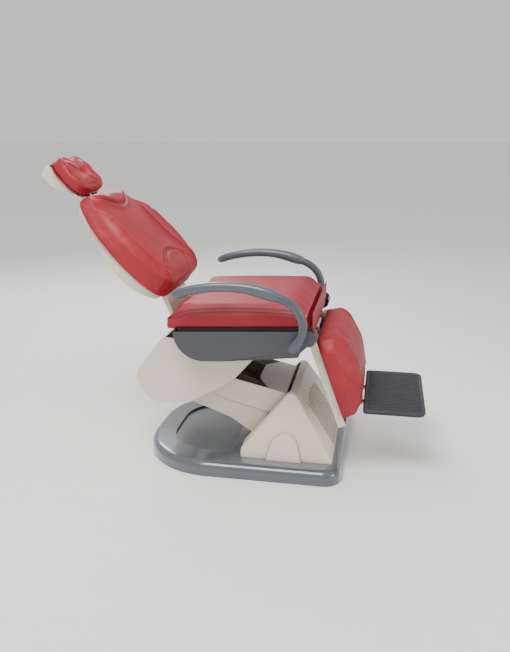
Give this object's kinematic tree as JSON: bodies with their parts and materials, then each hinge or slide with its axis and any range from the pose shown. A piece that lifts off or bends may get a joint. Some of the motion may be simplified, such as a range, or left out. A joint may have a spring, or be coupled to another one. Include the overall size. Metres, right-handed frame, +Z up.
{
  "type": "dental chair",
  "caption": "Padded treatment chair on a floor base, raised by a parallelogram arm, with a reclining back, folding leg rest, foot plate, armrests and a jointed headrest",
  "frame": {"origin": "on the floor, at the centre of the four floor anchor holes", "axes": "+X towards the patient's feet, +Y to the patient's left, +Z up"},
  "size_m": [1.3771, 0.671, 1.0703],
  "materials": {
    "painted_steel": "satin",
    "bright_steel": "satin",
    "bearing_bronze": "satin",
    "base_gloss": "gloss",
    "base_satin": "satin",
    "drive_grey": "matte",
    "ivory_shell": "satin",
    "seat_shell_grey": "satin",
    "red_leather": "satin",
    "pad_board": "matte",
    "foot_charcoal": "matte",
    "armrest_metal": "satin",
    "armrest_grip": "satin"
  },
  "bodies": {
    "base": {"base_plate": "painted_steel", "base_cover": "base_gloss", "base_lid": "base_satin", "control_box": "drive_grey", "front_cover": "ivory_shell", "pivot_stand": "painted_steel", "stand_bolts": "bright_steel", "lift_pivot_shaft": "bright_steel", "link_pivot_shaft": "bright_steel", "actuator_bracket": "painted_steel"},
    "lift_arm": {"lift_arm_frame": "painted_steel", "lift_arm_bushes": "bearing_bronze", "arm_cover_lower": "ivory_shell"},
    "tie_link": {"tie_links": "painted_steel", "tie_link_bushes": "bearing_bronze", "arm_cover_upper": "ivory_shell"},
    "lift_motor": {"lift_motor_housing": "drive_grey", "lift_motor_tube": "drive_grey"},
    "lift_rod": {"lift_rod": "bright_steel"},
    "carriage": {"carriage_plates": "painted_steel", "back_bushes": "bearing_bronze", "arm_rear_shaft": "bright_steel", "link_rear_shaft": "bright_steel", "leg_pivot_shaft": "bright_steel", "rear_cover": "ivory_shell", "seat_shell": "seat_shell_grey", "seat_frame": "painted_steel", "seat_board": "pad_board", "seat_cushion": "red_leather", "knee_flap": "red_leather", "recline_motor": "drive_grey", "leg_motor": "drive_grey", "armrest_pivots": "bright_steel"},
    "recline_rod": {"recline_rod": "bright_steel"},
    "leg_rod": {"leg_rod": "bright_steel"},
    "backrest": {"back_neck": "ivory_shell", "back_pivot_shaft": "bright_steel", "back_crank": "painted_steel", "back_shell": "ivory_shell", "back_board": "pad_board", "back_cushion": "red_leather", "headrest_guide": "painted_steel"},
    "headrest_bar": {"headrest_bar": "bright_steel"},
    "headrest_link": {"headrest_link": "bright_steel"},
    "headrest": {"headrest_board": "pad_board", "headrest_shell": "ivory_shell", "headrest_cushion": "red_leather"},
    "legrest": {"leg_frame": "painted_steel", "leg_shell": "ivory_shell", "leg_board": "pad_board", "leg_cushion": "red_leather"},
    "footrest": {"foot_bracket": "ivory_shell", "foot_bracket_screws": "bright_steel", "foot_plate": "foot_charcoal", "foot_mat": "foot_charcoal"},
    "armrest_right": {"armrest_right_tube": "armrest_metal", "armrest_right_grip": "armrest_grip"},
    "armrest_left": {"armrest_left_tube": "armrest_metal", "armrest_left_grip": "armrest_grip"}
  },
  "joints": [
    {"name": "lift", "type": "hinge", "parent": "base", "child": "lift_arm", "pos_m": [0.15, 0, 0.14], "axis": [0, 1, 0], "range_deg": [-12, 32]},
    {"name": "link_pivot", "type": "hinge", "parent": "base", "child": "tie_link", "pos_m": [0.15, 0, 0.213], "axis": [0, 1, 0], "range_deg": [-12.2, 32.2]},
    {"name": "carriage_level", "type": "hinge", "parent": "lift_arm", "child": "carriage", "pos_m": [-0.21875, 0, 0.26697], "axis": [0, 1, 0], "range_deg": [-32.2, 12.2]},
    {"name": "lift_motor_tilt", "type": "hinge", "parent": "base", "child": "lift_motor", "pos_m": [0.15, 0, 0.03], "axis": [0, 1, 0], "range_deg": [-10.3, 27.2]},
    {"name": "lift_rod_slide", "type": "slide", "parent": "lift_motor", "child": "lift_rod", "axis": [-0.8413, 0, 0.5406], "range_m": [-0.0178, 0.0466]},
    {"name": "recline", "type": "hinge", "parent": "carriage", "child": "backrest", "pos_m": [-0.24, 0, 0.488], "axis": [0, 1, 0], "range_deg": [-45, 15]},
    {"name": "recline_rod_slide", "type": "slide", "parent": "carriage", "child": "recline_rod", "axis": [1, 0, 0], "range_m": [-0.0158, 0.0468]},
    {"name": "leg_lift", "type": "hinge", "parent": "carriage", "child": "legrest", "pos_m": [0.24, 0, 0.48], "axis": [0, 1, 0], "range_deg": [-68, 0]},
    {"name": "leg_rod_slide", "type": "slide", "parent": "carriage", "child": "leg_rod", "axis": [1, 0, 0], "range_m": [-0.0003, 0.0507]},
    {"name": "footrest_slide", "type": "slide", "parent": "legrest", "child": "footrest", "axis": [0.342, 0, -0.9397], "range_m": [0, 0.05]},
    {"name": "armrest_right_fold", "type": "hinge", "parent": "carriage", "child": "armrest_right", "pos_m": [0.192, -0.319, 0.484], "axis": [0, 1, 0], "range_deg": [0, 95]},
    {"name": "armrest_left_fold", "type": "hinge", "parent": "carriage", "child": "armrest_left", "pos_m": [0.192, 0.319, 0.484], "axis": [0, 1, 0], "range_deg": [0, 95]},
    {"name": "headrest_slide", "type": "slide", "parent": "backrest", "child": "headrest_bar", "axis": [-0.682, 0, 0.7314], "range_m": [0, 0.14]},
    {"name": "headrest_link_tilt", "type": "hinge", "parent": "headrest_bar", "child": "headrest_link", "pos_m": [-0.6337, 0, 0.92486], "axis": [0, 1, 0], "range_deg": [-20, 10]},
    {"name": "headrest_tilt", "type": "hinge", "parent": "headrest_link", "child": "headrest", "pos_m": [-0.69012, 0, 0.97069], "axis": [0, 1, 0], "range_deg": [-25, 2]}
  ],
  "couplings": [
    {"joint": "link_pivot", "follows": "lift", "ratio": 1},
    {"joint": "carriage_level", "follows": "lift", "ratio": -1},
    {"joint": "lift_motor_tilt", "follows": "lift", "ratio": 0.84},
    {"joint": "lift_rod_slide", "follows": "lift", "m_per_rad": 0.0825},
    {"joint": "recline_rod_slide", "follows": "recline", "m_per_rad": -0.059},
    {"joint": "leg_rod_slide", "follows": "leg_lift", "m_per_rad": -0.0424}
  ]
}
